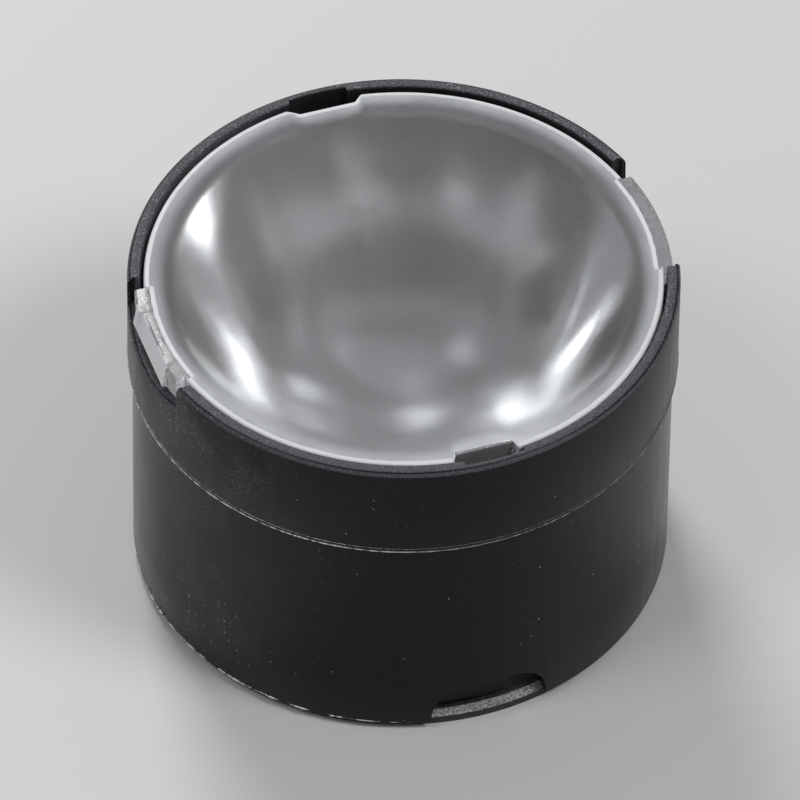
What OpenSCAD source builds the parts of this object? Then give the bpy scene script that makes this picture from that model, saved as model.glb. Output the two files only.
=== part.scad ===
// Collimating lens for one LED, seated in a moulded round holder that is stuck down with tape.
// Millimetres, +Z up. The origin is on the surface the tape sticks to, on the lens's axis.
// The lens's two ears and the holder's two windows are on X, the notches and foot arches on Y.

/* [Lens] */
// Diameter of the lens's flange, without its ears
lens_d = 20.16; // [16:0.02:30]
// Height of the lens from its tip to its front face
lens_h = 13.65; // [12.5:0.05:20]
// Thickness of the flange and of the ears
flange_t = 1.0; // [0.6:0.05:1.6]
// Width of the flange outside the collimating side
flange_w = 0.83; // [0.5:0.01:1.5]
// Radius of the lens's tip
tip_r = 3.9; // [3.5:0.05:4.5]

/* [LED recess] */
// Radius of the recess at its mouth
recess_mouth_r = 3.2; // [2.9:0.05:3.3]
// Radius of the recess at the edge of its end surface
recess_end_r = 3.0; // [2.6:0.05:3.2]
// Depth of the recess to the edge of its end surface
recess_depth = 4.0; // [3.6:0.1:6]
// Radius of curvature of the bulged end surface
recess_lens_r = 4.5; // [3.5:0.1:10]

/* [Ears, notches and gate] */
// How far the ears stand out past the flange
ear_reach = 0.38; // [0.1:0.02:0.45]
// Width of an ear
ear_w = 5.1; // [3:0.05:6]
// Radius of an ear's outer corners
ear_corner_r = 0.35; // [0.1:0.05:0.5]
// Angle by which each ear sits off the X axis, mirrored from one ear to the other
ear_angle = 1.0; // [0:0.1:1.2]
// Angle by which the lens lies turned in its holder, within the play of its ears
lens_turn = -1.2; // [-1.2:0.1:1.2]
// Depth of the notches in the flange
notch_depth = 0.44; // [0.2:0.02:0.6]
// Width of the notches at their bottom
notch_w = 2.4; // [1.5:0.05:4]
// How much each side of the front notch opens outwards
front_notch_flare = 0.08; // [0:0.02:0.5]
// How much each side of the back notch opens outwards
back_notch_flare = 0.36; // [0:0.02:0.5]
// Depth of the cut-off gate at the top of its ear
gate_depth = 0.24; // [0.1:0.02:0.3]
// How much the gate's cut face comes forward towards its foot
gate_lean = 0.16; // [0:0.02:0.2]
// Width of the gate's cut face at the top
gate_top_w = 2.7; // [1.5:0.1:3]
// How much wider the cut face is at its foot, on one side
gate_slant = 0.7; // [0:0.1:1]

/* [Holder] */
// Play between the flange and the rim's bore
lens_clearance = 0.13; // [0.05:0.01:0.3]
// Width of the rim's top
rim_w = 0.51; // [0.5:0.01:1.5]
// How far the rim stands above the lens's front face
rim_rise = 0.15; // [0:0.01:0.4]
// Radius of the rim's outer corner
rim_fillet = 0.2; // [0.05:0.05:0.3]
// Play between the lens's side and the holder's barrel
barrel_clearance = 0.26; // [0.1:0.02:0.4]
// Height of the lens's tip above the holder's foot
tip_lift = 0.6; // [0.2:0.05:1.5]
// Distance of the parting line below the rim
seam_drop = 4.35; // [2:0.05:6]
// How much wider the head is at the parting line than at the rim, in radius
head_draft = 0.04; // [0:0.01:0.2]
// How far the parting line's flash stands out
flash_reach = 0.04; // [0.01:0.01:0.1]
// Thickness of the flash at its edge
flash_t = 0.05; // [0.02:0.01:0.2]
// Step in from the head to the body, in radius
seam_step = 0.19; // [0.05:0.01:0.3]
// How much wider the body is at its foot than at the parting line, in radius
body_flare = 0.09; // [0:0.01:0.2]
// Thickness of the holder's floor
floor_t = 1.2; // [0.8:0.1:1.6]
// Height of the seat collar above the floor
collar_h = 1.5; // [0.5:0.1:3]
// Thickness of the seat collar
collar_w = 0.8; // [0.5:0.1:1.2]
// Play between the collar's mouth and the lens
seat_clearance = 0.15; // [0.05:0.01:0.3]

/* [Windows and pockets in the rim] */
// Width of the windows that the ears lie in
window_w = 6.0; // [5.8:0.05:7.5]
// How much deeper a window is in its middle than at its sides
window_sag = 0.45; // [0.1:0.05:0.6]
// Gap below an ear at the sides of its window
ear_gap = 0.05; // [0.02:0.01:0.2]
// Width of the pockets behind the notches
pocket_w = 2.35; // [1.5:0.05:3]
// How far the pockets cut into the rim
pocket_reach = 0.2; // [0.05:0.01:0.3]

/* [Foot arches] */
// Width of an arch
arch_w = 4.75; // [4:0.05:6]
// Height of an arch
arch_h = 1.8; // [1.6:0.05:2.5]
// Radius of an arch's upper corners
arch_corner_r = 1.5; // [0.3:0.05:1.6]
// Depth of an arch in the wall
arch_depth = 0.7; // [0.4:0.05:0.8]
// Distance from an arch's middle to the edge of its tongue
tongue_edge = 1.05; // [0.2:0.05:1.2]
// Height of the gap under the tongue
tongue_gap = 0.35; // [0.2:0.05:0.6]
// Radius of the tongue's lower corner
tongue_corner_r = 0.5; // [0.1:0.05:0.7]

/* [Tape] */
// Thickness of the adhesive tape
tape_t = 0.35; // [0.1:0.05:1]
// Distance of the tape's edge inside the holder's foot
tape_setback = 0.27; // [0.1:0.01:0.6]
// Distance of the tape's hole outside the holder's seat
tape_margin = 0.4; // [0.1:0.05:1]

/* [Hidden] */
$fn = 96;
// How far a cut runs past the faces it goes through
overrun = 0.5;
// Straight pieces in the outline of the collimating side
side_steps = 24;

// Radii of the lens
lens_r = lens_d / 2;
ear_r = lens_r + ear_reach;
side_top_r = lens_r - flange_w;
side_h = lens_h - flange_t;

// Radii of the holder, from the lens outwards
rim_bore_r = lens_r + lens_clearance;
pocket_r = rim_bore_r + pocket_reach;
head_top_r = rim_bore_r + rim_w;
head_seam_r = head_top_r + head_draft;
outer_r = head_seam_r + flash_reach;
body_top_r = head_seam_r - seam_step;
foot_r = body_top_r + body_flare;
web_r = foot_r - arch_depth;
barrel_r = side_top_r + barrel_clearance;

// Heights above the support surface
foot_z = tape_t;
tip_z = foot_z + tip_lift;
front_z = tip_z + lens_h;
shelf_z = front_z - flange_t;
root_z = shelf_z + flange_t / 2;
rim_z = front_z + rim_rise;
seam_z = rim_z - seam_drop;
floor_z = foot_z + floor_t;
collar_z = floor_z + collar_h;
fillet_z = rim_z - rim_fillet;

// The side is a parabola: the square of its radius grows evenly with height
function side_r(z) = sqrt(tip_r ^ 2 + (side_top_r ^ 2 - tip_r ^ 2) * (z - tip_z) / side_h);

// The collar's bore just clears the lens at the collar's mouth
seat_r = side_r(collar_z) + seat_clearance;
collar_r = seat_r + collar_w;

// A window's floor is an arc through its sides and its deepest point
window_depth = rim_rise + flange_t + ear_gap + window_sag;
window_floor_r = ((window_w / 2) ^ 2 + window_sag ^ 2) / (2 * window_sag);

// Sets a flat outline upright on the X axis, facing outwards, and gives it a depth
module outward(from_r, to_r) {
    translate([from_r, 0, 0])
        rotate([90, 0, 90])
            linear_extrude(to_r - from_r)
                children();
}

// A square-cornered plate from the centre to reach, with its two far corners rounded
module rounded_tab(reach, width, corner) {
    union() {
        translate([0, -width / 2])
            square([reach - corner, width]);
        translate([0, -width / 2 + corner])
            square([reach, width - 2 * corner]);
        for (side = [-1, 1])
            translate([reach - corner, side * (width / 2 - corner)])
                circle(corner);
    }
}

// The opening that both ear ends and flange corners leave for a notch
module notch(flare) {
    half = notch_w / 2;
    bottom = lens_r - notch_depth;
    polygon([
        [bottom, -half],
        [lens_r, -half - flare],
        [lens_r + overrun, -half - flare],
        [lens_r + overrun, half + flare],
        [lens_r, half + flare],
        [bottom, half],
    ]);
}

// The flange seen from above, with its ears and notches
module flange_outline() {
    difference() {
        union() {
            circle(lens_r);
            intersection() {
                circle(ear_r);
                union() {
                    rotate(-ear_angle)
                        rounded_tab(ear_r, ear_w, ear_corner_r);
                    rotate(180 + ear_angle)
                        rounded_tab(ear_r, ear_w, ear_corner_r);
                }
            }
        }
        rotate(-90)
            notch(front_notch_flare);
        rotate(90)
            notch(back_notch_flare);
    }
}

// Half section of the lens below its flange, with a root that runs into the flange
module side_profile() {
    polygon(concat(
        [[0, root_z], [0, tip_z]],
        [for (step = [0:side_steps])
            let (z = tip_z + side_h * step / side_steps)
            [side_r(z), z]],
        [[side_top_r, root_z]]
    ));
}

// Half section of the recess that the LED stands in, with its bulged end
module recess_profile() {
    end_z = tip_z + recess_depth;
    difference() {
        polygon([
            [0, tip_z - overrun],
            [recess_mouth_r, tip_z - overrun],
            [recess_mouth_r, tip_z],
            [recess_end_r, end_z],
            [0, end_z],
        ]);
        translate([0, end_z + sqrt(recess_lens_r ^ 2 - recess_end_r ^ 2)])
            circle(recess_lens_r);
    }
}

// What was cut off the ear at -X where the moulding's gate was
module gate_cut() {
    cut_r = ear_r - gate_depth;
    rotate(180 + ear_angle)
        translate([cut_r, 0, front_z])
            rotate([0, -atan(gate_lean / flange_t), 0])
                rotate([90, 0, 90])
                    linear_extrude(ear_reach + overrun)
                        polygon([
                            [-gate_top_w / 2, overrun],
                            [gate_top_w / 2, overrun],
                            [gate_top_w / 2, 0],
                            [gate_top_w / 2 + gate_slant, -flange_t - overrun],
                            [-gate_top_w / 2, -flange_t - overrun],
                        ]);
}

module lens() {
    color([0.86, 0.89, 0.92, 0.6])
        rotate(lens_turn)
            difference() {
                union() {
                    translate([0, 0, shelf_z])
                        linear_extrude(flange_t)
                            flange_outline();
                    rotate_extrude()
                        side_profile();
                }
                rotate_extrude()
                    recess_profile();
                gate_cut();
            }
}

// Half section of the holder: rim, shelf, barrel, floor and seat collar
module holder_profile() {
    difference() {
        polygon([
            [seat_r, foot_z],
            [foot_r, foot_z],
            [body_top_r, seam_z],
            [outer_r, seam_z],
            [outer_r, seam_z + flash_t],
            [head_seam_r, seam_z + 2 * flash_t],
            [head_top_r, fillet_z],
            [head_top_r, rim_z],
            [rim_bore_r, rim_z],
            [rim_bore_r, shelf_z],
            [barrel_r, shelf_z],
            [barrel_r, floor_z],
            [collar_r, floor_z],
            [collar_r, collar_z],
            [seat_r, collar_z],
        ]);
        difference() {
            translate([head_top_r - rim_fillet, fillet_z])
                square(rim_fillet + overrun);
            translate([head_top_r - rim_fillet, fillet_z])
                circle(rim_fillet);
        }
    }
}

// Gap in the rim for an ear, with a hollow floor
module window_cut() {
    difference() {
        translate([0, 0, rim_z])
            outward(rim_bore_r - overrun * 2, outer_r + overrun)
                intersection() {
                    translate([0, window_floor_r - window_depth])
                        circle(window_floor_r);
                    translate([-window_w / 2, -window_depth - overrun])
                        square([window_w, window_depth + 2 * overrun]);
                }
        cylinder(h = rim_z + 2 * overrun, r = rim_bore_r);
    }
}

// Pocket in the rim behind a notch, down to the shelf
module pocket_cut() {
    translate([0, 0, shelf_z])
        linear_extrude(rim_z - shelf_z + overrun)
            intersection() {
                circle(pocket_r);
                translate([0, -pocket_w / 2])
                    square([outer_r, pocket_w]);
            }
}

// An arch seen from outside, open at the foot
module arch_outline() {
    straight_w = arch_w - 2 * arch_corner_r;
    union() {
        translate([-arch_w / 2, -overrun])
            square([arch_w, arch_h - arch_corner_r + overrun]);
        translate([-straight_w / 2, -overrun])
            square([straight_w, arch_h + overrun]);
        for (side = [-1, 1])
            translate([side * straight_w / 2, arch_h - arch_corner_r])
                circle(arch_corner_r);
    }
}

// The tongue of inner wall that shows in an arch, with one rounded corner
module tongue_outline() {
    height = arch_h - tongue_gap + overrun;
    reach = arch_w / 2 + tongue_edge + overrun;
    left = tongue_edge - reach;
    union() {
        translate([left, tongue_gap])
            square([reach - tongue_corner_r, height]);
        translate([left, tongue_gap + tongue_corner_r])
            square([reach, height - tongue_corner_r]);
        translate([tongue_edge - tongue_corner_r, tongue_gap + tongue_corner_r])
            circle(tongue_corner_r);
    }
}

// A foot arch, the opening beside its tongue, and the wire slot from there through the floor
module arch_cut() {
    translate([0, 0, foot_z]) {
        difference() {
            outward(web_r - overrun, outer_r + overrun)
                arch_outline();
            translate([0, 0, -overrun])
                cylinder(h = arch_h + 2 * overrun, r = web_r);
        }
        difference() {
            outward(barrel_r - overrun, web_r)
                difference() {
                    arch_outline();
                    tongue_outline();
                }
            translate([0, 0, floor_t])
                cylinder(h = arch_h + overrun, r = barrel_r - overrun);
        }
        outward(0, barrel_r)
            translate([tongue_edge, -overrun])
                square([arch_w / 2 - tongue_edge - overrun / 2, floor_t + overrun]);
    }
}

module holder() {
    color([0.07, 0.075, 0.085])
        difference() {
            rotate_extrude()
                holder_profile();
            for (turn = [0, 180])
                rotate(turn) {
                    window_cut();
                    rotate(90)
                        pocket_cut();
                    rotate(-90)
                        arch_cut();
                }
        }
}

module adhesive_tape() {
    color([0.62, 0.63, 0.64])
        difference() {
            cylinder(h = tape_t, r = foot_r - tape_setback);
            translate([0, 0, -overrun])
                cylinder(h = tape_t + 2 * overrun, r = seat_r + tape_margin);
        }
}

lens();
holder();
adhesive_tape();
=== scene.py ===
# %% [markdown]
# # A moulded LED lens in its black holder
#
# The object is a clear acrylic collimating lens, seated just below the rim of a black moulded
# barrel that stands on a ring of adhesive tape. It is only 21.6 mm across, so a macro
# photograph shows things that stay hidden on larger objects: the grain of the mould, the thin
# flash at the parting line, dust, and the soft blur of the frosted front.
#
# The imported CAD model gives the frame. Everything made here is in metres, in that frame.

import math

import bmesh
import bpy
from mathutils import Matrix, Vector, noise


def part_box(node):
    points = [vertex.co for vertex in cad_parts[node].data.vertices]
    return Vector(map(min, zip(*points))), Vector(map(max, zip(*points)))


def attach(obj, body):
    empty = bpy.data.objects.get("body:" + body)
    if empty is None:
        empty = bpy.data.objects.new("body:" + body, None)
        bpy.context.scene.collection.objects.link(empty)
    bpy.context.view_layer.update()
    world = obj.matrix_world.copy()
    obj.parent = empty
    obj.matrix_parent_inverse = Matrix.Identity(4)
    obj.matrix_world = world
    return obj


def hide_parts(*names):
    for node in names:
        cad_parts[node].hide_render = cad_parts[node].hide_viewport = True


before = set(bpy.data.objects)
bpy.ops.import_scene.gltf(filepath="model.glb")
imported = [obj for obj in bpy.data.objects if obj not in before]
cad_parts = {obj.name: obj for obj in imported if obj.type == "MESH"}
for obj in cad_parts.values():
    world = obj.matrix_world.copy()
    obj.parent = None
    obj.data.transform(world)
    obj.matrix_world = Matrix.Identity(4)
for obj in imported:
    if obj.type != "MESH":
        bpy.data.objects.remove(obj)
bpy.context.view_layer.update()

# %% [markdown]
# ## Sizes
#
# The outer sizes come from the frame's own boxes, so that a piece modelled here lies where
# the CAD says. What the boxes can't tell, such as the width of the shelf, is a real size of
# the moulding and has a name of its own. They could be typed where they are used, but a named
# size says what it is and is changed in one place.

# %% Read the main sizes from the frame
MM = 0.001

lens_low, lens_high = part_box("lens")
holder_low, holder_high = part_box("holder")
tape_low, tape_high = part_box("adhesive_tape")

rim_z = holder_high.z
foot_z = holder_low.z
tip_z = lens_low.z
face_z = lens_high.z
tape_r = tape_high.x
print("rim, lens face and foot in mm:", [round(v / MM, 2) for v in (rim_z, face_z, foot_z)])

# %% Name the sizes of the lens
lens_r = 10.08 * MM
ear_r = 10.46 * MM
flange_t = 1.0 * MM
shelf_z = face_z - flange_t
lens_under_z = shelf_z + 0.01 * MM
side_top_r = 9.25 * MM
tip_r = 3.9 * MM
recess_mouth_r = 3.2 * MM
recess_end_r = 3.0 * MM
recess_end_z = tip_z + 4.0 * MM
recess_lens_r = 4.5 * MM
lens_turn = math.radians(-1.2)
print("the flange's underside is at mm:", round(lens_under_z / MM, 2))

# %% Name the sizes of the holder
rim_bore_r = lens_r + 0.13 * MM
head_top_r = rim_bore_r + 0.51 * MM
head_seam_r = head_top_r + 0.04 * MM
body_top_r = head_seam_r - 0.19 * MM
foot_r = body_top_r + 0.09 * MM
web_r = foot_r - 0.7 * MM
seam_z = rim_z - 4.35 * MM
barrel_r = side_top_r + 0.26 * MM
floor_t = 1.2 * MM
floor_z = foot_z + floor_t
collar_z = floor_z + 1.5 * MM
seat_r = 5.334 * MM
collar_r = seat_r + 0.8 * MM
print("the holder's foot has a radius in mm of", round(foot_r / MM, 2))

# %% [markdown]
# ## Camera
#
# The photograph looks down on the lens at 47 degrees through a long macro lens. A camera can
# be placed by eye, but then every shape that is compared with the photograph is a little off.
# Here circles for the rim, the seam and the foot were fitted to their outlines in the
# photograph, and that gave the height, roll and distance.

# %% Numbers of the fitted camera
PICTURE_PX = 800
SENSOR_MM = 36
camera_azimuth = math.radians(-20.1)
camera_elevation = math.radians(46.79)
camera_roll = math.radians(0.86)
camera_distance = 328.2 * MM
focal_px = 8342
target_height = 7.488 * MM
target_right = -0.08 * MM
print("camera height in degrees:", round(math.degrees(camera_elevation), 1))

# %% Directions of the camera
right = Vector((math.cos(camera_azimuth), math.sin(camera_azimuth), 0))
back = Vector((
    math.sin(camera_azimuth) * math.cos(camera_elevation),
    -math.cos(camera_azimuth) * math.cos(camera_elevation),
    math.sin(camera_elevation),
))
up = back.cross(right)
rolled_right = math.cos(camera_roll) * right + math.sin(camera_roll) * up
rolled_up = math.cos(camera_roll) * up - math.sin(camera_roll) * right
target = target_right * right + Vector((0, 0, target_height))
print("from the target to the camera:", [round(v, 2) for v in back])

# %% Place the camera
def in_scene(name, data):
    """Links a new object for a mesh, a lamp or a camera into the scene."""
    item = bpy.data.objects.new(name, data)
    bpy.context.scene.collection.objects.link(item)
    return item

camera_data = bpy.data.cameras.new("macro_camera")
camera_data.sensor_width = SENSOR_MM
camera_data.lens = focal_px * SENSOR_MM / PICTURE_PX
camera_data.clip_start = 0.01
camera = in_scene("macro_camera", camera_data)
camera_turn = Matrix((rolled_right, rolled_up, back)).transposed()
camera.matrix_world = Matrix.Translation(target + back * camera_distance) @ camera_turn.to_4x4()
bpy.context.scene.camera = camera
bpy.context.scene.view_settings.view_transform = "Standard"
print("camera lens in mm:", round(camera_data.lens, 1))

# %% [markdown]
# ## Rounded corners
#
# The lens and the holder are both round, so each starts as a half section. No moulded corner
# is truly sharp, and it is its small radius that catches the light. A Bevel modifier on the
# finished solid could round the corners, but here they get their radius on the section line,
# before it is spun, so each corner has just the radius that it needs.

# %% One rounded corner
def rounded_corner(before, here, after, radius, steps):
    """The points of an arc that touches both lines through a corner."""
    to_before = (before - here).normalized()
    to_after = (after - here).normalized()
    half_angle = to_before.angle(to_after) / 2
    reach = radius / math.tan(half_angle)
    centre = here + (to_before + to_after).normalized() * (radius / math.sin(half_angle))
    start = here + to_before * reach - centre
    end = here + to_after * reach - centre
    sweep = start.angle(end)
    for step in range(steps + 1):
        share = step / steps
        arm = start * math.sin((1 - share) * sweep) + end * math.sin(share * sweep)
        yield centre + arm / math.sin(sweep)

square_corner = rounded_corner(Vector((0, 0)), Vector((1, 0)), Vector((1, 1)), 0.5, 2)
print("a square corner's arc:", [tuple(round(v, 2) for v in point) for point in square_corner])

# %% A half section with rounded corners
def rounded_section(corners, steps=3):
    """Turns (r, z, radius) corners into a line in which each corner is an arc of that radius."""
    line = []
    for i, (r, z, radius) in enumerate(corners):
        here = Vector((r, z))
        if radius == 0:
            line.append(here)
            continue
        before = Vector(corners[i - 1][:2])
        after = Vector(corners[(i + 1) % len(corners)][:2])
        line += rounded_corner(before, here, after, radius, steps)
    return line

square = [(0, 0, 0), (1, 0, 0.2), (1, 1, 0.2), (0, 1, 0)]
print("a square with two rounded corners has", len(rounded_section(square)), "points")

# %% [markdown]
# ## Turning
#
# A mould maker turns round shapes on a lathe, and the spin operator does the same with a half
# section. One long spin of a fine piece is slow, so only a sector is spun, and the shape is
# then doubled until it is whole. The doubled points along the seams are merged at the end, and
# the faces are turned to point outwards.

# %% Add a turned copy of a shape to itself
def add_turned_copy(shape, angle):
    copy = bmesh.ops.duplicate(shape, geom=shape.verts[:] + shape.edges[:] + shape.faces[:])
    verts = [item for item in copy["geom"] if isinstance(item, bmesh.types.BMVert)]
    bmesh.ops.rotate(shape, verts=verts, cent=(0, 0, 0), matrix=Matrix.Rotation(angle, 3, "Z"))
    return len(verts)

dot = bmesh.new()
dot.verts.new((1, 0, 0))
print("points copied in a trial:", add_turned_copy(dot, math.pi))
dot.free()

# %% Spin a half section into a solid
SECTORS = 16
MERGE_DISTANCE = 1e-7

def turned(line, steps, closed):
    """Spins one sector, then doubles it until it goes all the way round."""
    shape = bmesh.new()
    points = [shape.verts.new((p.x, 0, p.y)) for p in line]
    edges = [shape.edges.new(pair) for pair in zip(points, points[1:])]
    if closed:
        edges.append(shape.edges.new((points[-1], points[0])))
    sweep = math.tau / SECTORS
    bmesh.ops.spin(
        shape, geom=points + edges, cent=(0, 0, 0), axis=(0, 0, 1), angle=sweep, steps=steps // SECTORS)
    while sweep < math.tau - 0.001:
        add_turned_copy(shape, sweep)
        sweep *= 2
    bmesh.ops.remove_doubles(shape, verts=shape.verts, dist=MERGE_DISTANCE)
    bmesh.ops.recalc_face_normals(shape, faces=shape.faces)
    return shape

print("a round piece is doubled", round(math.log2(SECTORS)), "times")

# %% Hand a finished shape to the scene
def mesh_from(name, shape):
    mesh = bpy.data.meshes.new(name)
    shape.to_mesh(mesh)
    shape.free()
    return mesh

def smooth_faces(mesh, sharp_degrees=32):
    mesh.polygons.foreach_set("use_smooth", [True] * len(mesh.polygons))
    mesh.set_sharp_from_angle(angle=math.radians(sharp_degrees))

def make_piece(name, shape, sharp_degrees=32):
    mesh = mesh_from(name, shape)
    smooth_faces(mesh, sharp_degrees)
    piece = in_scene(name, mesh)
    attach(piece, "root")
    print(name, "has", len(mesh.polygons), "faces")
    return piece

# %% [markdown]
# ## The lens
#
# A collimator for one LED: light enters through the recess at the tip, the bulged end of the
# recess bends the middle of the beam, and the parabolic side reflects the rest forwards
# without any mirror coating. The look of the real lens comes from that shape, so it is
# modelled as a true solid of clear plastic, and its highlights aren't painted. The section is
# drawn from the middle of the recess, down, out along the side and back over the face.

# %% Section of the lens: the recess and its bulged end
BULGE_STEPS = 14
bulge_centre_z = recess_end_z + math.sqrt(recess_lens_r ** 2 - recess_end_r ** 2)
bulge_angle = math.asin(recess_end_r / recess_lens_r)

lens_line = []
for step in range(BULGE_STEPS + 1):
    angle = bulge_angle * step / BULGE_STEPS
    r = recess_lens_r * math.sin(angle)
    z = bulge_centre_z - recess_lens_r * math.cos(angle)
    lens_line.append(Vector((r, z)))
lens_line.append(Vector((recess_mouth_r, tip_z)))
print("the bulge hangs down to mm:", round(lens_line[0].y / MM, 2))

# %% Section of the lens: the collimating side
SIDE_STEPS = 40
fillet_radius = 0.3 * MM
side_end_z = lens_under_z - fillet_radius

def side_radius(z):
    """A parabola from the tip to the flange."""
    share = (z - tip_z) / (shelf_z - tip_z)
    return math.sqrt(tip_r ** 2 + (side_top_r ** 2 - tip_r ** 2) * share)

for step in range(SIDE_STEPS + 1):
    z = tip_z + (side_end_z - tip_z) * step / SIDE_STEPS
    lens_line.append(Vector((side_radius(z), z)))
print("the side ends at a radius in mm of", round(side_radius(side_end_z) / MM, 2))

# %% Section of the lens: the fillet and the underside of the flange
under_chamfer = 0.03 * MM
fillet = [
    (side_radius(side_end_z), side_end_z, 0),
    (side_top_r, lens_under_z, fillet_radius),
    (lens_r, lens_under_z, 0),
]
lens_line += rounded_section(fillet, steps=6)[1:-1]
lens_line.append(Vector((lens_r - under_chamfer, lens_under_z)))
lens_line.append(Vector((lens_r, lens_under_z + under_chamfer)))
print("the section has", len(lens_line), "points so far")

# %% Section of the lens: the rounded edge and the face
EDGE_STEPS = 3
FACE_RINGS_MM = (9.87, 9.7, 9.55, 9.4, 9.25, 8.9, 8.5, 6, 3, 0)
edge_radius = 0.1 * MM
frost_r = 9.9 * MM

lens_line.append(Vector((lens_r, face_z - edge_radius)))
for step in range(1, EDGE_STEPS + 1):
    angle = math.radians(90 * step / EDGE_STEPS)
    r = lens_r - edge_radius * (1 - math.cos(angle))
    z = face_z - edge_radius * (1 - math.sin(angle))
    lens_line.append(Vector((r, z)))
for ring_mm in FACE_RINGS_MM:
    lens_line.append(Vector((ring_mm * MM, face_z)))
print("lens section has", len(lens_line), "points")

# %% [markdown]
# ## Ears, notches and gate
#
# The flange isn't quite round. Two ears on X key it into the rim's windows, two notches on Y
# let a tool lift it out, and the ear at -X carries the flat face where the gate, through
# which the mould was filled, was cut off. These could be joined on and cut out with Booleans,
# but so small a change is cleaner as an outline: a radius for each angle, to which the spun
# edge is then moved.

# %% Outline of an ear
ear_half_w = 2.55 * MM
ear_corner = 0.35 * MM
ear_corner_r = math.hypot(ear_r - ear_corner, ear_half_w - ear_corner)
ear_corner_angle = math.atan2(ear_half_w - ear_corner, ear_r - ear_corner)
ear_reach_angle = math.radians(20)

def turned_by(angle, direction):
    """The angle from a direction, between minus and plus half a turn."""
    return (angle - direction + math.pi) % math.tau - math.pi

def ear_outline(angle):
    """Radius of an ear's edge at an angle from its middle, and 0 beside the ear."""
    if abs(angle) > ear_reach_angle:
        return 0
    if abs(angle) < ear_corner_angle:
        return ear_r
    offset = abs(angle) - ear_corner_angle
    inside = ear_corner ** 2 - (ear_corner_r * math.sin(offset)) ** 2
    if inside < 0:
        return 0
    return min(ear_r, ear_corner_r * math.cos(offset) + math.sqrt(inside))

print("an ear's corner begins at degrees:", round(math.degrees(ear_corner_angle), 1))

# %% Outline of a notch
notch_bottom = lens_r - 0.44 * MM
notch_half_w = 1.2 * MM
notch_reach_angle = math.radians(12)
# In metres, so beyond any edge
FAR_OUT = 1

def notch_outline(angle, flares):
    """Radius of a notch's edge at an angle from its middle, and far out beside the notch."""
    if abs(angle) > notch_reach_angle:
        return FAR_OUT
    across = lens_r * math.sin(angle)
    flare = flares[0] if across < 0 else flares[1]
    if abs(across) > notch_half_w + flare:
        return FAR_OUT
    depth = notch_bottom / math.cos(angle)
    if abs(across) > notch_half_w:
        share = (abs(across) - notch_half_w) / flare
        return depth + (lens_r - depth) * share
    return depth

print("a notch's bottom is at mm:", round(notch_outline(0, (0, 0)) / MM, 2))

# %% Outline of the whole flange
ear_angle = math.radians(1.0)
gate_r = 10.22 * MM
gate_lean = 0.25
gate_low_y = -1.32 * MM
gate_high_y = 1.64 * MM
gate_low_splay = 0.5
gate_high_splay = 0.15
front_flares = (0.08 * MM, 0.08 * MM)
back_flares = (0.3 * MM, 0.42 * MM)

def flange_radius(angle, below):
    """Radius of the flange at an angle in the lens's own frame, so far below its face."""
    radius = max(lens_r, ear_outline(turned_by(angle, -ear_angle)))
    from_gate = turned_by(angle, math.pi + ear_angle)
    ear = ear_outline(from_gate)
    if ear > 0:
        across = gate_r * math.tan(from_gate)
        if gate_low_y - gate_low_splay * below < across < gate_high_y + gate_high_splay * below:
            ear = (gate_r + gate_lean * below) / math.cos(from_gate)
        radius = max(radius, ear)
    radius = min(radius, notch_outline(turned_by(angle, -math.pi / 2), front_flares))
    return min(radius, notch_outline(turned_by(angle, math.pi / 2), back_flares))

print("flange at an ear and a notch in mm:", [round(flange_radius(a, 0) / MM, 2) for a in (0, math.pi / 2)])

# %% [markdown]
# The real face turns milky towards its edge. A ring painted by distance from the axis would
# miss the notches, so each vertex stores how near it is to the real outline, in an attribute
# that the material reads. The border of the frost also wavers a little, because the real one
# isn't a perfect circle.

# %% Turn the lens
LENS_STEPS = 960
glow_w = 1.6 * MM
inner_r = 8.4 * MM
frost_waver = 0.03 * MM
frost_gap = 0.15 * MM
slack = 0.01 * MM

lens_shape = turned(lens_line, LENS_STEPS, closed=False)
edge_glow = lens_shape.verts.layers.float.new("edge_glow")
print("the lens has", len(lens_shape.verts), "vertices")

# %% Move the flange's edge to the outline
def moved_radius(radius, below, angle, outline):
    """The edge keeps its rounding, the frost's border wavers, and the rest stays."""
    if radius > frost_r + slack:
        return outline - (lens_r - radius)
    if below < MERGE_DISTANCE and radius > side_top_r:
        wave = noise.noise(Vector((math.cos(angle), math.sin(angle), 0)) * 40)
        frost_end = min(frost_r + frost_waver * wave, outline - frost_gap)
        return side_top_r + (radius - side_top_r) * (frost_end - side_top_r) / (frost_r - side_top_r)
    return radius

for vert in lens_shape.verts:
    radius = math.hypot(vert.co.x, vert.co.y)
    if radius < inner_r:
        continue
    angle = math.atan2(vert.co.y, vert.co.x)
    below = face_z - vert.co.z
    outline = flange_radius(angle, below)
    radius = moved_radius(radius, below, angle, outline)
    vert[edge_glow] = max(0, 1 - (min(outline, lens_r) - radius) / glow_w)
    vert.co.x = radius * math.cos(angle + lens_turn)
    vert.co.y = radius * math.sin(angle + lens_turn)
print("the glow is over half on", sum(vert[edge_glow] > 0.5 for vert in lens_shape.verts), "vertices")

# %% [markdown]
# The finish differs from face to face: the front is frosted, the underside of the flange is
# satin, the optical faces are polished, the edge is rough and white, and the ears are glossy
# where they were clipped. The walls of the front notch get the clearer clipped finish too, as
# painted shade, and a white band of edge finish along the back notch is painted light. Separate
# pieces would leave inner walls in the clear plastic, which refract, so the lens stays one solid
# and each face gets a material index by where it lies.

# %% Where the ears and notches are on the lens
POLISHED, FROSTED, SATIN, EDGE, CLIPPED = 0, 1, 2, 3, 4
notch_band = 0.24 * MM
notch_band_half_w = 1.7 * MM
ear_band_r = 9.75 * MM
ear_band_low_y = -2.7 * MM
ear_band_high_y = 2.34 * MM
ear_low_y = -2.74 * MM
ear_high_y = 2.38 * MM
gate_side_y = -1.97 * MM
front_notch_half_w = 1.25 * MM
front_notch_r = lens_r - 0.1 * MM

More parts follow.
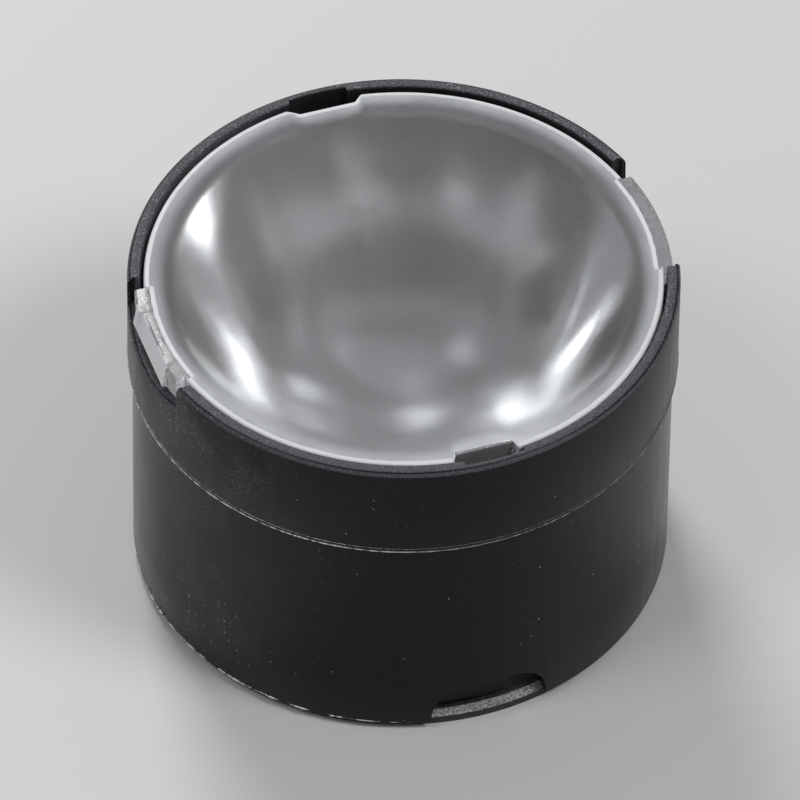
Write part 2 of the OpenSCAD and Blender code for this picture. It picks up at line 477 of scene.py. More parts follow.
def on_face_rim(point, to_edge, radius):
    """True on the white bands of the face along the ears, and on the back notch's band, which is painted
    light.
    """
    # Painted light: only the back notch, lit from behind, gets a white band on the face.
    at_back_notch = point.y > 0 and abs(point.x) < notch_band_half_w and to_edge < notch_band
    at_ear = ear_band_low_y < point.y < ear_band_high_y and radius > ear_band_r
    return at_back_notch or at_ear

def edge_finish(point, radius):
    if ear_low_y < point.y < ear_high_y:
        on_gate = point.x < 0 and gate_side_y < point.y < gate_high_y
        return EDGE if on_gate and radius > gate_r - slack else CLIPPED
    # Painted shade: the front notch's walls take the clearer clipped finish and stay dark, while the back
    # notch's walls keep the white edge finish.
    in_front_notch = point.y < 0 and abs(point.x) < front_notch_half_w and radius < front_notch_r
    return CLIPPED if in_front_notch else EDGE

print("the middle of the gate has finish", edge_finish(Vector((-gate_r, 0, 0)), gate_r))

# %% Choose the finish of each face of the lens
def finish_at(point):
    point = Matrix.Rotation(-lens_turn, 3, "Z") @ point
    radius = math.hypot(point.x, point.y)
    on_top = point.z > face_z - MERGE_DISTANCE
    if radius < side_top_r:
        return FROSTED if on_top else POLISHED
    if point.z < lens_under_z + 0.002 * MM:
        return SATIN
    to_edge = flange_radius(math.atan2(point.y, point.x), 0) - radius
    if on_top and radius < frost_r - frost_waver:
        return EDGE if on_face_rim(point, to_edge, radius) else FROSTED
    return edge_finish(point, radius)

for face in lens_shape.faces:
    face.material_index = finish_at(face.calc_center_median())
lens = make_piece("frosted_lens", lens_shape, sharp_degrees=40)
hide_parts("lens")

# %% [markdown]
# ## The holder
#
# One black polycarbonate moulding. The mould parts 4.35 mm below the rim, where a thin line
# of flash stands out and the wall steps in. It is round as well, so it is spun: its half
# section runs from the foot up the outside, over the rim, down the bore to the shelf, and
# down the barrel to the floor and the collar that holds the lens's tip. One extra ring above
# the foot arches keeps the cuts made there from bending the shading of the whole wall.

# %% Half section of the holder
above_arch_z = foot_z + 2.3 * MM
above_arch_r = foot_r + (body_top_r - foot_r) * (above_arch_z - foot_z) / (seam_z - foot_z)

holder_corners = [
    (seat_r, foot_z, 0),
    (foot_r, foot_z, 0.05 * MM),
    (above_arch_r, above_arch_z, 0),
    (body_top_r, seam_z, 0),
    (head_seam_r, seam_z, 0.02 * MM),
    (head_top_r, rim_z, 0.2 * MM),
    (rim_bore_r, rim_z, 0.04 * MM),
    (rim_bore_r, shelf_z, 0),
    (barrel_r, shelf_z, 0),
    (barrel_r, floor_z, 0),
    (collar_r, floor_z, 0),
    (collar_r, collar_z, 0.05 * MM),
    (seat_r, collar_z, 0.05 * MM),
]
holder_line = rounded_section(holder_corners, steps=4)
print("holder section has", len(holder_line), "points")

# %% [markdown]
# The rim has two windows for the ears, with a hollow floor, and two pockets behind the
# notches. Instead of cutting them, the rim of the spun shape is lowered or moved outwards
# there. That way the rounded outer corner runs on along the floor of a window, as it does on
# the real moulding.

# %% Depth of the windows
window_half_w = 3.0 * MM
window_side_depth = 1.2 * MM
window_sag = 0.45 * MM
sag_r = (window_half_w ** 2 + window_sag ** 2) / (2 * window_sag)

def window_depth(x, y):
    """How far the rim is lowered at a place: in an arc across a window, and 0 elsewhere."""
    if abs(y) > window_half_w or abs(x) < rim_bore_r / 2:
        return 0
    return window_side_depth + math.sqrt(sag_r ** 2 - y ** 2) - (sag_r - window_sag)

print("a window's depth in mm:", round(window_depth(rim_bore_r, 0) / MM, 2))

# %% Turn the holder, lower the rim and widen the bore
HOLDER_STEPS = 1440
pocket_half_w = 1.175 * MM
pocket_reach = 0.2 * MM
rim_band = 0.25 * MM
bore_band = 0.05 * MM

holder_shape = turned(holder_line, HOLDER_STEPS, closed=True)
for vert in holder_shape.verts:
    radius = math.hypot(vert.co.x, vert.co.y)
    on_rim = vert.co.z > rim_z - rim_band
    in_bore = rim_bore_r - slack < radius < rim_bore_r + bore_band and vert.co.z > shelf_z - slack
    if in_bore and abs(vert.co.x) < pocket_half_w:
        vert.co.x *= (radius + pocket_reach) / radius
        vert.co.y *= (radius + pocket_reach) / radius
    if on_rim:
        vert.co.z -= window_depth(vert.co.x, vert.co.y)
holder = make_piece("black_holder", holder_shape)
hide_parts("holder")

# %% [markdown]
# ## Foot arches
#
# Each side of the foot has an arch for the LED's wires, with a tongue of inner wall left in
# it, and a slot from there through the floor. Their walls run straight through the round
# ones, so moving vertices won't do: they are really cut, with Boolean modifiers. A cutter is a
# flat outline, extruded to a prism.

# %% Arcs and prisms for the cutters
ARC_STEPS = 10

def corner_arc(centre_x, centre_z, radius, first, last):
    for step in range(ARC_STEPS + 1):
        angle = math.radians(first + (last - first) * step / ARC_STEPS)
        yield Vector((centre_x + radius * math.cos(angle), 0, centre_z + radius * math.sin(angle)))

def prism(points, near_y, far_y):
    """A flat outline above the foot, drawn at near_y and extruded to far_y."""
    shape = bmesh.new()
    ring = [shape.verts.new(p + Vector((0, near_y, foot_z))) for p in points]
    face = shape.faces.new(ring)
    moved = bmesh.ops.extrude_face_region(shape, geom=[face])
    ends = [item for item in moved["geom"] if isinstance(item, bmesh.types.BMVert)]
    bmesh.ops.translate(shape, verts=ends, vec=(0, far_y - near_y, 0))
    bmesh.ops.recalc_face_normals(shape, faces=shape.faces)
    return shape

print("a cutter's round corner has", ARC_STEPS + 1, "points")

# %% Outline of an arch
arch_half_w = 2.375 * MM
arch_h = 1.8 * MM
arch_corner = 1.5 * MM
arch_straight = arch_half_w - arch_corner
overrun = 0.5 * MM

def arch_line(left):
    """Outline of an arch from a left edge to its right side, above the foot."""
    points = [Vector((left, 0, -overrun)), Vector((arch_half_w, 0, -overrun))]
    points += corner_arc(arch_straight, arch_h - arch_corner, arch_corner, 0, 90)
    return points

left_side = list(corner_arc(-arch_straight, arch_h - arch_corner, arch_corner, 90, 180))
print("an arch has", len(arch_line(-arch_half_w) + left_side), "points")

# %% Cut an object with a shape, and with the same shape turned half round
def cut(piece, shape, both_sides=True):
    if both_sides:
        add_turned_copy(shape, math.pi)
    mesh = mesh_from("cutter", shape)
    cutter = in_scene("cutter", mesh)
    modifier = piece.modifiers.new("cut", "BOOLEAN")
    modifier.operation = "DIFFERENCE"
    modifier.solver = "MANIFOLD"
    modifier.object = cutter
    bpy.context.view_layer.update()
    cut_mesh = bpy.data.meshes.new_from_object(piece.evaluated_get(bpy.context.evaluated_depsgraph_get()))
    piece.modifiers.clear()
    old_mesh = piece.data
    piece.data = cut_mesh
    cut_mesh.name = old_mesh.name
    bpy.data.meshes.remove(old_mesh)
    bpy.data.objects.remove(cutter)
    bpy.data.meshes.remove(mesh)
    print(piece.name, "now has", len(cut_mesh.polygons), "faces")

# %% [markdown]
# The outer arch goes only as deep as the outer wall, to a round inner face. So its cutter is a
# prism from which a round core is taken first, with the same cut.

# %% Cut the arches through the outer wall
ROUND_STEPS = 720
past_wall_y = -11.5 * MM
arch_end_y = -9 * MM
core_low = -2 * MM
core_high = 4 * MM
arch_shape = prism(arch_line(-arch_half_w) + left_side, past_wall_y, arch_end_y)
core_corners = [(0, core_low), (web_r, core_low), (web_r, core_high), (0, core_high)]
core = turned([Vector(corner) for corner in core_corners], ROUND_STEPS, closed=False)

arch = in_scene("arch", mesh_from("arch", arch_shape))
cut(arch, core, both_sides=False)
arch_shape = bmesh.new()
arch_shape.from_mesh(arch.data)
bpy.data.objects.remove(arch)
cut(holder, arch_shape)

# %% Cut the inner wall beside and under the tongue
tongue_edge = 1.05 * MM
tongue_gap = 0.35 * MM
tongue_corner = 0.5 * MM
tongue_front_y = -(web_r + 0.3 * MM)
tongue_end_y = -(barrel_r - 0.4 * MM)
void_end_y = -9.1 * MM
under_edge = tongue_edge + slack

void_points = arch_line(tongue_edge) + [Vector((tongue_edge, 0, arch_h))]
cut(holder, prism(void_points, tongue_front_y, void_end_y))

tongue_under = [
    Vector((-arch_half_w, 0, -overrun)),
    Vector((under_edge, 0, -overrun)),
    Vector((under_edge, 0, tongue_gap + tongue_corner)),
]
tongue_under += corner_arc(tongue_edge - tongue_corner, tongue_gap + tongue_corner, tongue_corner, 0, -90)
tongue_under.append(Vector((-arch_half_w, 0, tongue_gap)))
cut(holder, prism(tongue_under, tongue_front_y, tongue_end_y))

# %% Cut the wire slots through the floor
slot_right = 2.125 * MM
slot_end_y = -1 * MM
slot_corners = [
    (tongue_edge, -overrun), (slot_right, -overrun), (slot_right, floor_t), (tongue_edge, floor_t)]
slot_points = [Vector((x, 0, z)) for x, z in slot_corners]
cut(holder, prism(slot_points, -barrel_r, slot_end_y))
smooth_faces(holder.data)
print("a slot's width in mm:", round((slot_right - tongue_edge) / MM, 2))

# %% [markdown]
# ## Flash
#
# Where two parts of the mould meet, a little plastic creeps into the joint and stays as a thin
# ragged fin. There is a double one round the parting line, and a coarser one round the foot. A
# bump in the material would vanish against the outline, so each fin is a narrow ring of its
# own. It is spun as the rest is, and its outer edge is then moved in and out with noise, so
# that it comes and goes. The ring at the foot is left open where the arches are.

# %% Ragged rings of flash
FLASH_STEPS = 1920
flash_sink = 0.04 * MM
flash_lift = 0.012 * MM

def ragged_share(at, strength):
    """How much of its reach the fin has at a place, by coarse and fine noise."""
    ragged = 0.65 + 0.9 * noise.noise(at) + 0.5 * noise.noise(at * 2.7)
    return max(-0.5, min(1, ragged * strength))

def flash_ring(name, wall_r, low_z, high_z, reach, coarseness, strength, gap_half_w=0):
    """A fin round the wall. strength(angle) is 0 where it is gone and 1 where it is full."""
    middle_z = (low_z + high_z) / 2
    corners = [(wall_r - flash_sink, low_z), (wall_r + reach, middle_z), (wall_r - flash_sink, high_z)]
    shape = turned([Vector(corner) for corner in corners], FLASH_STEPS, closed=True)
    for vert in shape.verts:
        radius = math.hypot(vert.co.x, vert.co.y)
        if radius < wall_r:
            continue
        at = vert.co * (coarseness / MM)
        share = ragged_share(at, strength(math.atan2(vert.co.y, vert.co.x)))
        scale = (wall_r + reach * share) / radius
        vert.co.x *= scale
        vert.co.y *= scale
        vert.co.z += flash_lift * noise.noise(at * 1.7 + Vector((7, 0, 0)))
    in_gap = [face for face in shape.faces if abs(face.calc_center_median().x) < gap_half_w]
    bmesh.ops.delete(shape, geom=in_gap, context="FACES")
    bmesh.ops.holes_fill(shape, edges=[edge for edge in shape.edges if edge.is_boundary])
    return make_piece(name, shape, sharp_degrees=60)

print("a ring of flash has", FLASH_STEPS, "steps")

# %% Where the flash is strong
seam_side = math.radians(190)
foot_side = math.radians(205)

def seam_strength(angle):
    """Full on one side of the holder, and a little less opposite."""
    return 0.8 + 0.2 * math.cos(turned_by(angle, seam_side))

def second_strength(angle):
    return seam_strength(angle) - 0.35

def foot_strength(angle):
    """Strong on one side of the holder, and nearly gone on most of the rest."""
    return max(0.12, 1.35 * math.cos(turned_by(angle, foot_side)) - 0.4)

print("strongest at the foot:", round(foot_strength(foot_side), 2))

# %% Make the three rings
seam_flash = flash_ring(
    "seam_flash", head_seam_r, seam_z - 0.03 * MM, seam_z + 0.13 * MM, 0.036 * MM, 2.5, seam_strength)
seam_witness = flash_ring(
    "seam_witness", head_seam_r, seam_z + 0.19 * MM, seam_z + 0.24 * MM, 0.02 * MM, 2.1, second_strength)
foot_flash = flash_ring(
    "foot_flash", foot_r - 0.03 * MM, foot_z + 0.02 * MM, foot_z + 0.15 * MM, 0.1 * MM, 1.8, foot_strength,
    gap_half_w=arch_half_w)

# %% [markdown]
# ## The tape
#
# A die-cut ring of dark foam tape holds the part on its circuit board. A flat ring could be
# made from two circles, but spinning its section gives the thickness as well. The top of the
# ring that shows in the foot arches gets a second finish.

# %% Turn the tape
tape_hole_r = seat_r + 0.4 * MM
tape_corners = [
    (tape_hole_r, tape_low.z),
    (tape_r, tape_low.z),
    (tape_r, foot_z),
    (web_r, foot_z),
    (tape_hole_r, foot_z),
]
tape_shape = turned([Vector(corner) for corner in tape_corners], ROUND_STEPS, closed=True)
for face in tape_shape.faces:
    middle = face.calc_center_median()
    if middle.z > foot_z - 0.001 * MM and math.hypot(middle.x, middle.y) > web_r:
        face.material_index = 1
tape = make_piece("tape_ring", tape_shape)
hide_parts("adhesive_tape")

# %% [markdown]
# ## Finishes
#
# Every material reads Object coordinates, which are metres from the middle of the tape's
# underside. A Mapping node turns them into millimetres first, so the sizes of grain and specks
# below are ones per millimetre. Nodes can be wired one by one in the editor. Here small helpers
# add and wire them, so a recipe reads as one line for each step.

# %% Start a material and add nodes to it
TO_MM = (1000, 1000, 1000)

def fill(tree, socket, value):
    """Links another node's output to a socket, or sets the socket to a value."""
    if isinstance(value, bpy.types.NodeSocket):
        tree.links.new(value, socket)
    else:
        socket.default_value = value

def add(tree, kind, settings=None, **values):
    """Adds a node. Values go to its inputs, in which _ stands for a space; settings are its own."""
    node = tree.nodes.new(kind)
    for name, value in (settings or {}).items():
        setattr(node, name, value)
    for name, value in values.items():
        fill(tree, node.inputs[name.replace("_", " ")], value)
    return node

def new_material(name):
    material = bpy.data.materials.new(name)
    material.use_nodes = True
    tree = material.node_tree
    where = add(tree, "ShaderNodeTexCoord").outputs["Object"]
    in_mm = add(tree, "ShaderNodeMapping", Vector=where, Scale=TO_MM).outputs["Vector"]
    print("started the finish", name)
    return material, tree, tree.nodes["Principled BSDF"], in_mm

# %% Sums, mixes and smooth steps
def maths(tree, operation, first, second=0.0):
    node = add(tree, "ShaderNodeMath", {"operation": operation})
    fill(tree, node.inputs[0], first)
    fill(tree, node.inputs[1], second)
    return node.outputs[0]

def times(tree, first, second):
    return maths(tree, "MULTIPLY", first, second)

def larger(tree, first, second):
    return maths(tree, "MAXIMUM", first, second)

def between(tree, value, low, high, start=0.0, end=1.0):
    """Goes smoothly from start to end while the value goes from low to high."""
    node = add(
        tree, "ShaderNodeMapRange", {"interpolation_type": "SMOOTHSTEP"},
        Value=value, From_Min=low, From_Max=high, To_Min=start, To_Max=end)
    return node.outputs["Result"]

def mixed(tree, share, first, second):
    node = add(tree, "ShaderNodeMix", {"data_type": "RGBA"})
    for number, value in ((0, share), (6, first), (7, second)):
        fill(tree, node.inputs[number], value)
    return node.outputs[2]

print("sums, mixes and steps take numbers or the outputs of other nodes")

# %% Noise, places and relief
def cloudy(tree, vector, scale, **values):
    return add(tree, "ShaderNodeTexNoise", Vector=vector, Scale=scale, **values).outputs["Fac"]

def stretched(tree, vector, scale):
    return add(tree, "ShaderNodeMapping", Vector=vector, Scale=scale).outputs["Vector"]

def measure(tree, operation, vector, other=None):
    """The length of a vector, or its distance from or product with another."""
    node = add(tree, "ShaderNodeVectorMath", {"operation": operation}, Vector=vector)
    if other:
        node.inputs[1].default_value = other
    return node.outputs["Value"]

def give_relief(tree, shader, height, strength, depth_mm):
    bump = add(tree, "ShaderNodeBump", Strength=strength, Distance=depth_mm * MM, Height=height)
    tree.links.new(bump.outputs["Normal"], shader.inputs["Normal"])
    return bump

print("a relief of 0.02 mm is in metres:", round(0.02 * MM, 6))

# %% [markdown]
# Dust, pits and glints are small round spots that lie here and there. Noise makes clouds, not
# spots, so they come from a Voronoi pattern: some of its cells are chosen by their random
# colour, and a chosen cell shows a spot of its own size round its middle.

# %% Specks
def specks(tree, vector, scale, size, share, dimensions="3D"):
    """1 in a small round spot in some of the cells of a Voronoi pattern, and 0 elsewhere."""
    settings = {"voronoi_dimensions": dimensions}
    cells = add(tree, "ShaderNodeTexVoronoi", settings, Vector=vector, Scale=scale)
    chosen = add(tree, "ShaderNodeSeparateColor", Color=cells.outputs["Color"])
    keep = between(tree, chosen.outputs["Red"], 1 - share - 0.01, 1 - share)
    edge = times(tree, chosen.outputs["Green"], size)
    near = between(tree, maths(tree, "SUBTRACT", edge, cells.outputs["Distance"]), 0, size * 0.5)
    return times(tree, keep, near)

print("a speck of size 0.13 at 2.2 per mm has a radius in mm of up to", round(0.13 / 2.2, 3))

# %% [markdown]
# ## Black moulded plastic
#
# The holder is one black plastic, but its mould was spark eroded, which leaves a fine pitted
# grain, coarse on the rim and finer down the wall. Several materials would show borders that
# the real moulding lacks, so one material finds out where it is, by height, by the way the
# surface faces and by the distance from the axis, and changes its grain there. It also paints
# light into the colour. The rim's top is lighter, partly for its grain and partly as painted
# light. Its rounded corner carries a painted highlight. The bore and the left side of the wall
# are painted lighter where the lamps catch them.

# %% Where a point of the moulding is
black, tree, shader, in_mm = new_material("black_moulding")
height = add(tree, "ShaderNodeSeparateXYZ", Vector=in_mm).outputs["Z"]
normal = add(tree, "ShaderNodeNewGeometry").outputs["Normal"]
facing_up = add(tree, "ShaderNodeSeparateXYZ", Vector=normal).outputs["Z"]
from_axis = measure(tree, "LENGTH", stretched(tree, in_mm, (1, 1, 0)))
left_share = between(tree, measure(tree, "DOT_PRODUCT", in_mm, (-0.94, 0.34, 0)), 2.5, 9.5)
back_share = between(tree, measure(tree, "DOT_PRODUCT", in_mm, (0.34, 0.94, 0)), -7, 2)
on_head = between(tree, height, 10.35, 10.45)
near_rim = between(tree, height, 12.3, 12.5)
print("nodes that find the place:", len(tree.nodes))

# %% The rim's flat top, its rounded corner and the bore
# The colour below paints the rim's flat top lighter, partly for the coarse grain and partly as painted
# light. It puts a painted highlight along the rounded corner and leaves a dark line of painted shade
# between the two.
on_flat = times(tree, between(tree, facing_up, 0.9, 0.99), near_rim)
fillet_highlight = times(tree, between(tree, facing_up, 0.1, 0.3), between(tree, facing_up, 0.9, 0.7))
fillet_highlight = times(tree, fillet_highlight, near_rim)
rim_grain_and_light = larger(tree, on_flat, fillet_highlight)
# Painted light: the bore wall takes the rim's lighter colour, a little all round and fully on the left
# side, where the lamps catch it.
in_bore = times(tree, between(tree, from_axis, 10.43, 10.4), near_rim)
in_bore = times(tree, in_bore, between(tree, facing_up, 0.5, 0.3))
in_bore = times(tree, in_bore, between(tree, left_share, 0, 0.8, 0.1, 1.0))
print("nodes with the rim:", len(tree.nodes))

# %% Patterns of the black plastic: grain, pits, streaks and the painted light on the left wall
fine_grain = cloudy(tree, in_mm, 13, Detail=3, Roughness=0.75)
pits = add(tree, "ShaderNodeTexVoronoi", Vector=in_mm, Scale=11).outputs["Distance"]
streaks = cloudy(tree, stretched(tree, in_mm, (3.5, 3.5, 0.25)), 1, Detail=4)
broad = cloudy(tree, in_mm, 0.5, Detail=3)
# Painted light: the head's wall is painted lighter on its left side, in broad patches, where the lamps
# catch it.
left_wall_light = times(tree, left_share, between(tree, on_head, 0, 1, 0.35, 1.0))
left_wall_light = times(tree, left_wall_light, between(tree, broad, 0.4, 0.65, 0.1, 1.0))
print("nodes with the patterns:", len(tree.nodes))

# %% [markdown]
# Painted glints: pale spots in the colour stand in for the coarse grain catching the lamps, on
# the rim towards the back and the left, and on the left side of the wall. At this size a grain
# is too small for a bump to catch the light reliably. Dust lies all over, with a denser patch
# low on the left, and is pale spots in the colour as well.

# %% Painted glints and dust
DUST_PATCH_MM = (-9.4, -4.6, 3.2)
# Painted glints: pale specks stand in for the grain catching the lamps, on the rim towards the back and
# left, and on the left side of the wall.
glinting_side = larger(tree, back_share, left_share)
rim_glints = times(tree, rim_grain_and_light, between(tree, glinting_side, 0, 1, 0.08, 0.5))
glint_share = larger(tree, rim_glints, times(tree, left_wall_light, 0.45))
glint_share = times(tree, glint_share, specks(tree, in_mm, 15, 0.7, 0.45))
from_patch = measure(tree, "DISTANCE", in_mm, DUST_PATCH_MM)
patch_share = between(tree, from_patch, 3.4, 0.6, 0.06, 0.9)
patch_dust = times(tree, specks(tree, in_mm, 6, 0.3, 0.6), patch_share)
dust_share = larger(tree, times(tree, specks(tree, in_mm, 2.4, 0.13, 0.35), 0.5), patch_dust)
pale_share = larger(tree, glint_share, dust_share)
print("nodes with glints and dust:", len(tree.nodes))

# %% Colour of the black plastic
WALL_DARK = (0.0035, 0.004, 0.0055, 1)
WALL_PALE = (0.009, 0.01, 0.013, 1)
# The lighter grey pair: the rim's grain, and the painted light on the rim, the bore and the left wall.
RIM_AND_LIT_DARK = (0.045, 0.047, 0.052, 1)
RIM_AND_LIT_PALE = (0.11, 0.115, 0.125, 1)
DUST_AND_GLINT_GREY = (0.5, 0.52, 0.56, 1)
wall_colour = mixed(tree, between(tree, fine_grain, 0.4, 0.7), WALL_DARK, WALL_PALE)
rim_and_lit_colour = mixed(tree, between(tree, fine_grain, 0.35, 0.65), RIM_AND_LIT_DARK, RIM_AND_LIT_PALE)
# Painted light: the left side of the wall takes some of the lighter rim colour.
colour = mixed(tree, times(tree, left_wall_light, 0.35), wall_colour, rim_and_lit_colour)
# Painted light: the rim's top and corner, and the bore wall, take the lighter colour.
colour = mixed(tree, larger(tree, rim_grain_and_light, in_bore), colour, rim_and_lit_colour)
# Dust and painted glints turn the colour pale grey.
fill(tree, shader.inputs["Base Color"], mixed(tree, pale_share, colour, DUST_AND_GLINT_GREY))
print("nodes with colour:", len(tree.nodes))

# %% Roughness and relief of the black plastic
roughness = between(tree, streaks, 0.35, 0.65, 0.22, 0.27)
roughness = maths(tree, "ADD", roughness, times(tree, on_head, 0.06))
roughness = maths(tree, "ADD", roughness, times(tree, rim_grain_and_light, 0.16))
fill(tree, shader.inputs["Roughness"], roughness)
shader.inputs["Specular IOR Level"].default_value = 0.2

wall_relief = maths(tree, "ADD", times(tree, fine_grain, 0.3), times(tree, streaks, 0.03))
rim_relief = times(tree, maths(tree, "ADD", pits, fine_grain), rim_grain_and_light)
give_relief(tree, shader, maths(tree, "ADD", wall_relief, rim_relief), 0.5, 0.02)
holder.data.materials.clear()
holder.data.materials.append(black)
print("black moulding has", len(tree.nodes), "nodes")

# %% [markdown]
# Flash is torn, not moulded, so it is rough and whitened, and shows as a row of white dots,
# partly painted glints. Its thin fins are too narrow for specks, so plain noise switches
# between black and white. It is whiter on the left, as a painted highlight where the lamps
# catch the fins.

# %% Torn plastic
TORN_DARK = (0.06, 0.061, 0.065, 1)
TORN_WHITE_AND_LIT = (0.9, 0.92, 0.95, 1)
torn, tree, shader, in_mm = new_material("torn_flash")
tears = cloudy(tree, in_mm, 5, Detail=4, Roughness=0.8)
# Painted highlight: the flash is whiter towards the left side, where the lamps catch it.
on_left = between(tree, measure(tree, "DOT_PRODUCT", in_mm, (-0.94, -0.34, 0)), 5, 10.5, 0.25, 1.0)
whitening_and_highlight = times(tree, between(tree, tears, 0.35, 0.55), on_left)
fill(tree, shader.inputs["Base Color"], mixed(tree, whitening_and_highlight, TORN_DARK, TORN_WHITE_AND_LIT))
fill(tree, shader.inputs["Roughness"], between(tree, tears, 0.3, 0.7, 0.6, 0.35))
give_relief(tree, shader, tears, 0.6, 0.03)
for ring in (seam_flash, seam_witness, foot_flash):
    ring.data.materials.append(torn)
print("torn flash has", len(tree.nodes), "nodes")

# %% [markdown]
# ## Frosted front
#
# The front of the lens is frosted by a fine texture in the mould. Light that crosses it is
# blurred, and a little of it comes straight back, which gives the whole bowl a milky grey
# haze, strongest in a band along the edge. A plain rough glass would blur but not turn milky,
# so the share of light that is let through drops a little with the grain, in the dust specks
# and towards the edge, where the attribute on the mesh says how near it is.

# %% Haze of the frosted front
frosted, tree, shader, in_mm = new_material("frosted_acrylic")
grain = cloudy(tree, in_mm, 15, Detail=3, Roughness=0.8)
clouds = cloudy(tree, in_mm, 0.45, Detail=3)
large_specks = specks(tree, in_mm, 2.2, 0.11, 0.3, "2D")
small_specks = specks(tree, in_mm, 4.5, 0.18, 0.3, "2D")
near_edge = add(tree, "ShaderNodeAttribute", {"attribute_name": "edge_glow"}).outputs["Fac"]
edge_milk = between(tree, clouds, 0.3, 0.7, 0.28, 0.42)
edge_milk = times(tree, between(tree, near_edge, 0.42, 0.88), edge_milk)
haze = between(tree, grain, 0.38, 0.66, 0.02, 0.1)
haze = maths(tree, "ADD", haze, between(tree, clouds, 0.3, 0.7, -0.01, 0.01))
haze = maths(tree, "ADD", haze, edge_milk)
pale = times(tree, larger(tree, large_specks, small_specks), 0.3)
print("nodes of the haze:", len(tree.nodes))

# %% Shader of the frosted front
ACRYLIC_IOR = 1.49
clear_share = maths(tree, "SUBTRACT", 1.0, larger(tree, haze, pale))
# A plain value for a viewer that can't follow the link
shader.inputs["Transmission Weight"].default_value = 0.92
fill(tree, shader.inputs["Transmission Weight"], clear_share)
shader.inputs["Base Color"].default_value = (0.95, 0.97, 1, 1)
shader.inputs["IOR"].default_value = ACRYLIC_IOR
frost = between(tree, grain, 0.3, 0.7, 0.27, 0.38)
frost = maths(tree, "ADD", frost, between(tree, near_edge, 0.1, 0.5, 0, 0.3))
fill(tree, shader.inputs["Roughness"], frost)
give_relief(tree, shader, grain, 0.5, 0.012)
print("frosted acrylic has", len(tree.nodes), "nodes")

# %% [markdown]
# The other faces of the lens are the same clear plastic, only polished, satin, rough or
# clipped. One function makes all four, from how clear, how rough and how uneven they are.

# %% Polished, satin, rough and clipped acrylic
def acrylic(name, clear, rough_low, rough_high, relief_mm, scale=6):
    material, tree, shader, in_mm = new_material(name)
    grain = cloudy(tree, in_mm, scale, Detail=4, Roughness=0.7)
    shader.inputs["Base Color"].default_value = (0.97, 0.98, 1, 1)
    shader.inputs["Transmission Weight"].default_value = clear
    shader.inputs["IOR"].default_value = ACRYLIC_IOR
    fill(tree, shader.inputs["Roughness"], between(tree, grain, 0.3, 0.7, rough_low, rough_high))
    give_relief(tree, shader, grain, 0.4, relief_mm)
    return material

polished = acrylic("polished_acrylic", 1, 0.02, 0.08, 0.001)
satin = acrylic("satin_acrylic", 0.9, 0.3, 0.45, 0.008)
rough_edge = acrylic("rough_edge_acrylic", 0.25, 0.4, 0.6, 0.015)
clipped = acrylic("clipped_acrylic", 0.8, 0.05, 0.35, 0.015, scale=2)
for material in (polished, frosted, satin, rough_edge, clipped):
    lens.data.materials.append(material)
print("lens finishes:", [material.name for material in lens.data.materials])

# %% [markdown]
# ## Tape finishes
#
# The tape is a closed-cell foam, dark grey and slightly open at its cut edge. A Voronoi
# pattern gives the cells, in both colour and relief. Where the holder doesn't cover the tape,
# in the foot arches, dust has stuck to its adhesive and turned it pale: noise spreads it in
# crumbs.

# %% Foam tape
foam, tree, shader, in_mm = new_material("foam_tape")
cells = add(tree, "ShaderNodeTexVoronoi", Vector=in_mm, Scale=7).outputs["Distance"]
foam_colour = mixed(tree, cells, (0.018, 0.018, 0.019, 1), (0.06, 0.06, 0.062, 1))
fill(tree, shader.inputs["Base Color"], foam_colour)
shader.inputs["Roughness"].default_value = 0.85
give_relief(tree, shader, cells, 0.8, 0.04)
tape.data.materials.append(foam)
print("foam has", len(tree.nodes), "nodes")

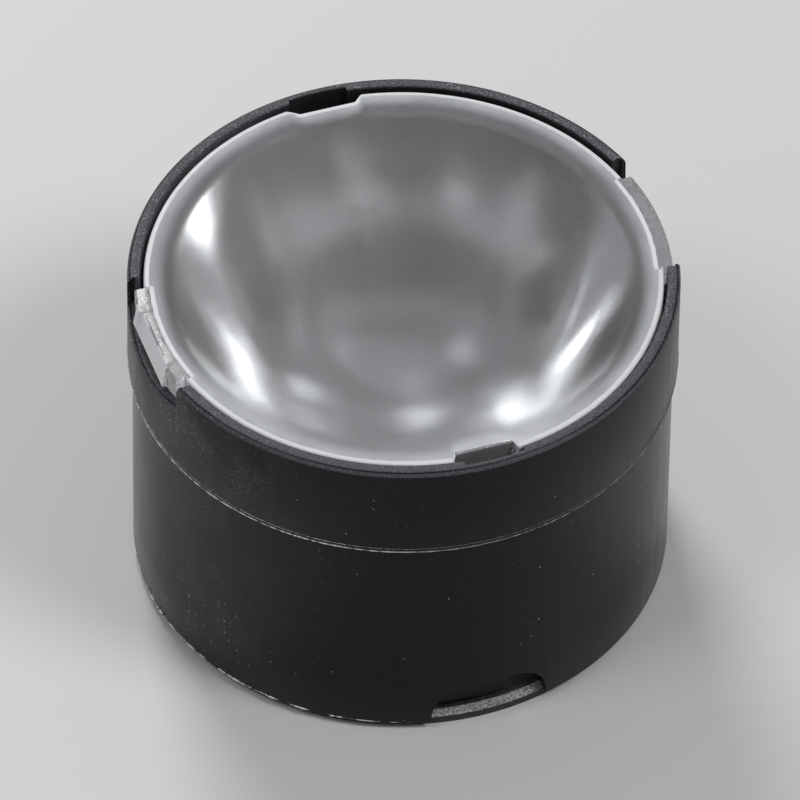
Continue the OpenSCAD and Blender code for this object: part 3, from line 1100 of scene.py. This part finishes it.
# %% Dusty adhesive
dusty, tree, shader, in_mm = new_material("dusty_adhesive")
crumbs = cloudy(tree, in_mm, 9, Detail=4, Roughness=0.8)
covered = between(tree, crumbs, 0.38, 0.6)
dusty_colour = mixed(tree, covered, (0.16, 0.16, 0.165, 1), (0.72, 0.72, 0.74, 1))
fill(tree, shader.inputs["Base Color"], dusty_colour)
fill(tree, shader.inputs["Roughness"], between(tree, crumbs, 0.3, 0.7, 0.35, 0.8))
give_relief(tree, shader, crumbs, 0.9, 0.05)
tape.data.materials.append(dusty)
print("tape finishes:", [material.name for material in tape.data.materials])

# %% [markdown]
# ## Studio
#
# A plain pale floor, a soft grey world and three soft lamps. A lens shows its lamps as blurred
# highlights, so these stand where the highlights in the real lens say that its lamps stood.
# Their levels add up to a plain light, in which a colour looks about as it is written.

# %% Floor
FLOOR_HALF_M = 1.5
FLOOR_GREY = (0.7, 0.7, 0.7, 1)
FLOOR_PALE = (0.74, 0.74, 0.74, 1)
floor_shape = bmesh.new()
bmesh.ops.create_grid(floor_shape, x_segments=1, y_segments=1, size=FLOOR_HALF_M)
floor = in_scene("floor", mesh_from("floor", floor_shape))
floor_paint, tree, shader, in_mm = new_material("pale_floor")
mottle = cloudy(tree, in_mm, 0.02, Detail=2)
fill(tree, shader.inputs["Base Color"], mixed(tree, mottle, FLOOR_GREY, FLOOR_PALE))
shader.inputs["Roughness"].default_value = 0.5
floor.data.materials.append(floor_paint)
print("the floor is", 2 * FLOOR_HALF_M, "m wide")

# %% World
world = bpy.data.worlds.new("studio")
bpy.context.scene.world = world
world.use_nodes = True
world.node_tree.nodes["Background"].inputs["Color"].default_value = (0.2, 0.203, 0.21, 1)
print("the world is", world.name)

# %% Lamps
# Where the camera stands, in degrees round the object
CAMERA_SIDE = 249.9

def soft_lamp(name, azimuth, elevation, size, level, distance=0.4):
    """A round lamp that alone would light a white surface facing it to the given level."""
    around = math.radians(CAMERA_SIDE + azimuth)
    high = math.radians(elevation)
    way = Vector((math.cos(around) * math.cos(high), math.sin(around) * math.cos(high), math.sin(high)))
    data = bpy.data.lights.new(name, "AREA")
    data.shape = "DISK"
    data.size = size
    data.energy = level * (math.pi * distance) ** 2
    lamp = in_scene(name, data)
    lamp.location = way * distance
    lamp.rotation_euler = way.to_track_quat("Z", "Y").to_euler()
    print(name, "has an energy in watts of", round(data.energy, 2))
    return lamp

soft_lamp("lamp_behind", 200, 41, 0.14, 0.42)
soft_lamp("lamp_right", 62, 54, 0.13, 0.32)
soft_lamp("lamp_left", 300, 58, 0.13, 0.15)
